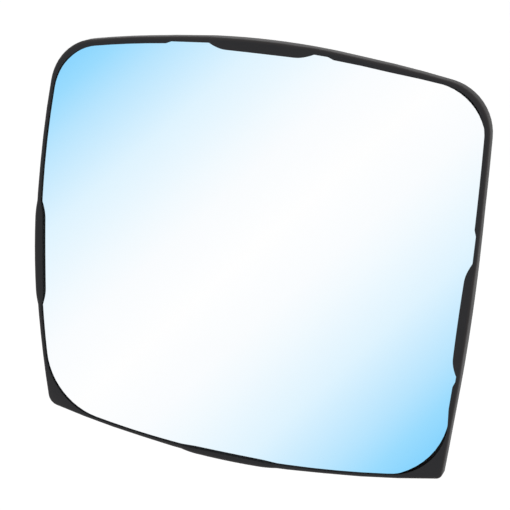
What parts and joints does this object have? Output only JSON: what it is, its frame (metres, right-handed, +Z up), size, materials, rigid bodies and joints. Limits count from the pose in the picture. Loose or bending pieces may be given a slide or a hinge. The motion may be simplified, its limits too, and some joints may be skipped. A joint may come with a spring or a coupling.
{
  "type": "door mirror glass",
  "caption": "Convex mirror pane in a black moulded holder with retaining tabs, pointed lower corners and a rear snap collar for the mirror adjuster.",
  "frame": {"origin": "centre of the mouth of the rear collar, where the adjuster's hub seats", "axes": "+Y out of the back along the collar axis, the mirror faces -Y, +Z up, +X to the right seen from the front"},
  "size_m": [0.2004, 0.0205, 0.1878],
  "materials": {
    "mirror": "silvered convex glass with a ground edge",
    "foam": "closed-cell adhesive foam",
    "black_plastic": "fine-grained black moulding"
  },
  "bodies": {
    "root": {"mirror_glass": "mirror", "bonding_pad": "foam", "mirror_holder": "black_plastic"}
  },
  "joints": []
}
